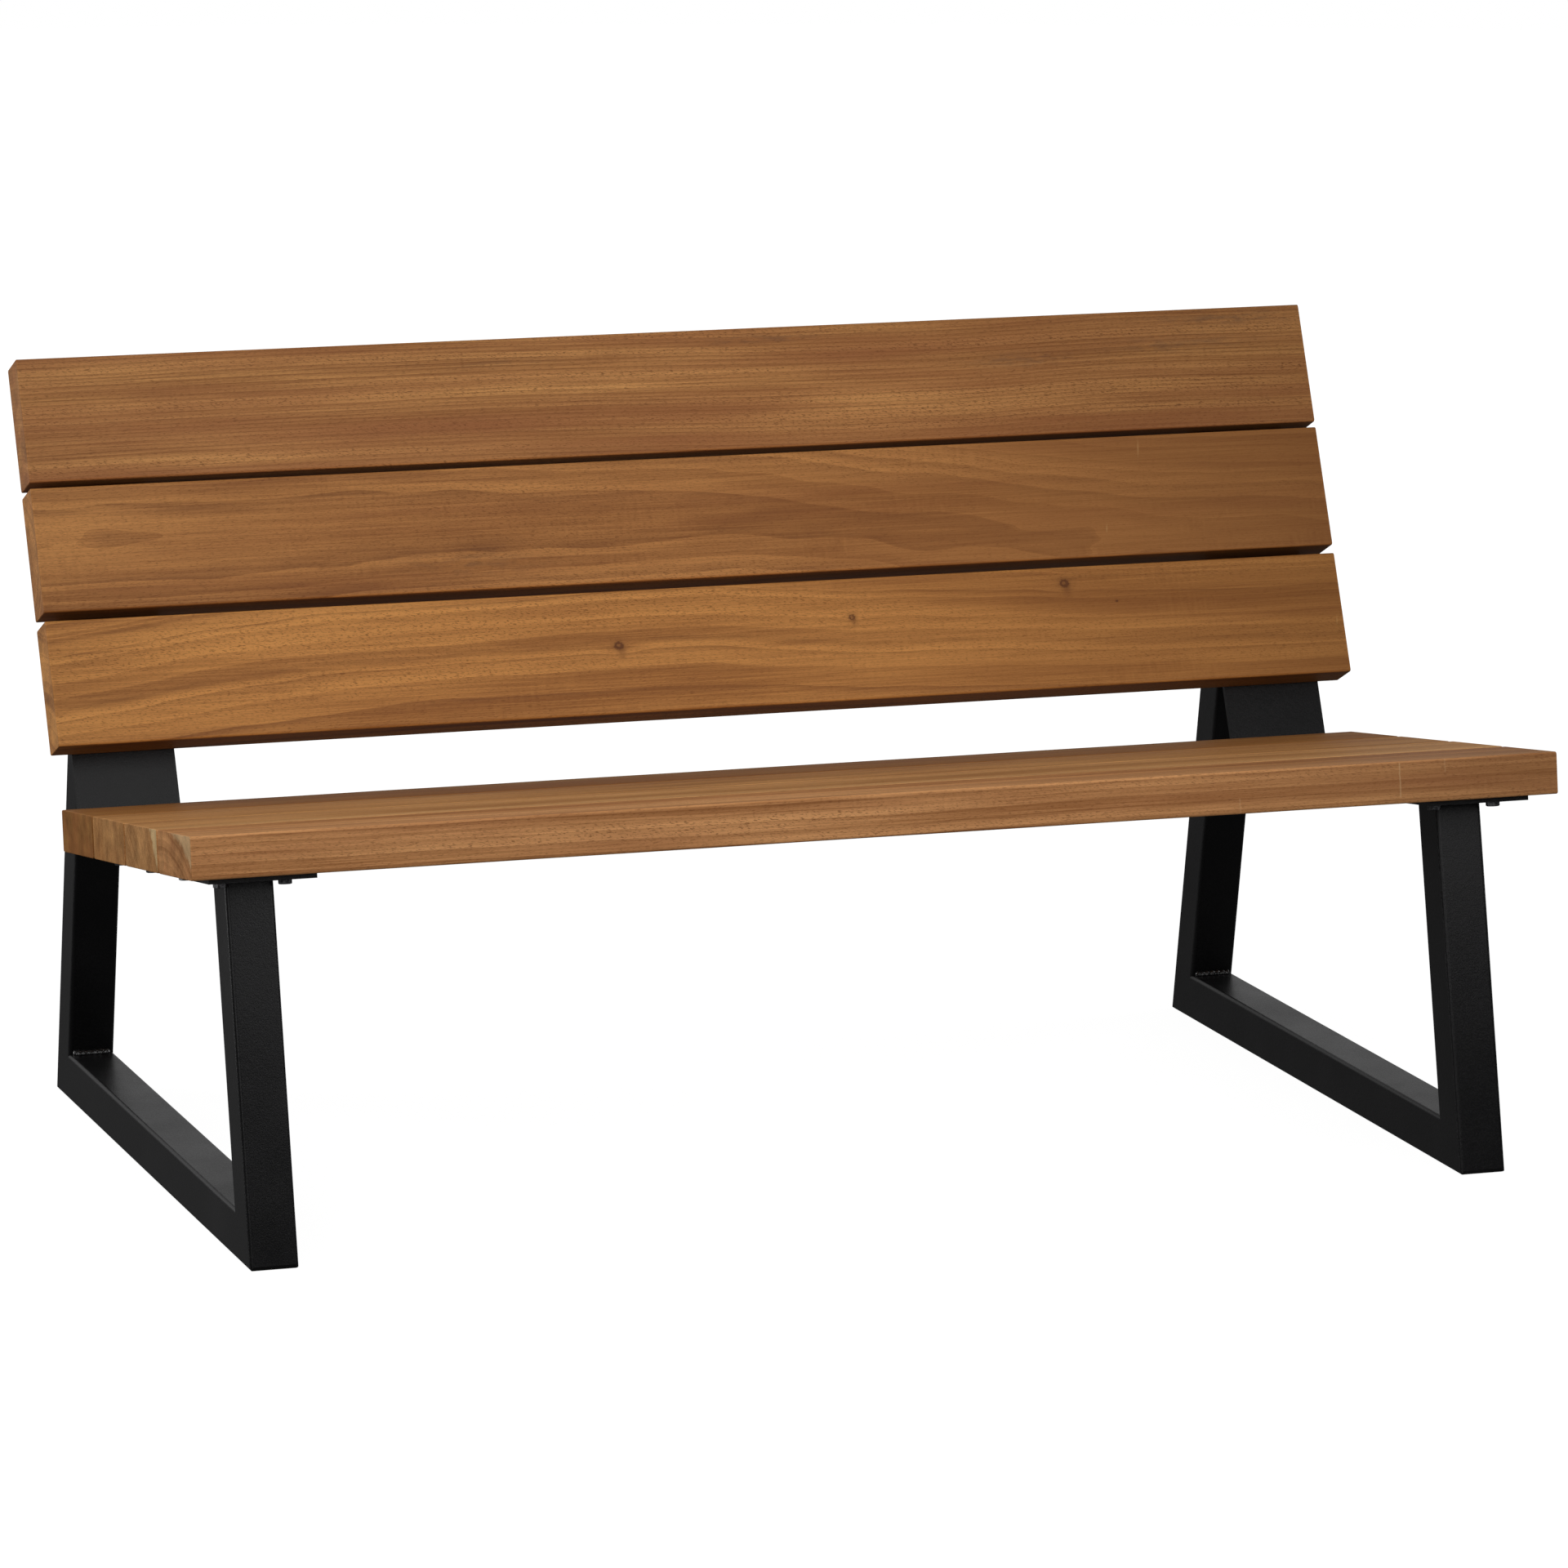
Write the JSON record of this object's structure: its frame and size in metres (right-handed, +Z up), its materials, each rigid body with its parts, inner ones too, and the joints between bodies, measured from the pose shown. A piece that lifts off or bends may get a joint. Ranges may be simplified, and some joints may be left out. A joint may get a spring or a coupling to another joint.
{
  "type": "park bench with backrest",
  "caption": "Slatted timber park bench with a leaning backrest, on two black square-tube A-frame legs joined to flat plates under the planks.",
  "frame": {"origin": "on the floor under the middle of the bench's overall box", "axes": "+X along the planks to a viewer's right when facing the front, +Y from the front edge of the seat towards the backrest, +Z up; the bench faces -Y"},
  "size_m": [1.45, 0.8348, 0.8113],
  "materials": {
    "plank_wood": "oiled warm brown hardwood, open fine pores, satin",
    "powder_coated_steel": "black powder coat, fine texture, satin",
    "fastener_steel": "plain zinc-plated steel"
  },
  "bodies": {
    "root": {"back_plank_1": "plank_wood", "back_plank_2": "plank_wood", "back_plank_3": "plank_wood", "left_back_plate": "powder_coated_steel", "left_back_screws": "fastener_steel", "left_back_washers": "fastener_steel", "left_foot_welds": "powder_coated_steel", "left_front_leg": "powder_coated_steel", "left_plate_welds": "powder_coated_steel", "left_rear_leg": "powder_coated_steel", "left_runner": "powder_coated_steel", "left_seat_plate": "powder_coated_steel", "left_seat_screws": "fastener_steel", "left_seat_washers": "fastener_steel", "right_back_plate": "powder_coated_steel", "right_back_screws": "fastener_steel", "right_back_washers": "fastener_steel", "right_foot_welds": "powder_coated_steel", "right_front_leg": "powder_coated_steel", "right_plate_welds": "powder_coated_steel", "right_rear_leg": "powder_coated_steel", "right_runner": "powder_coated_steel", "right_seat_plate": "powder_coated_steel", "right_seat_screws": "fastener_steel", "right_seat_washers": "fastener_steel", "seat_plank_1": "plank_wood", "seat_plank_2": "plank_wood", "seat_plank_3": "plank_wood", "seat_plank_4": "plank_wood"}
  },
  "joints": []
}
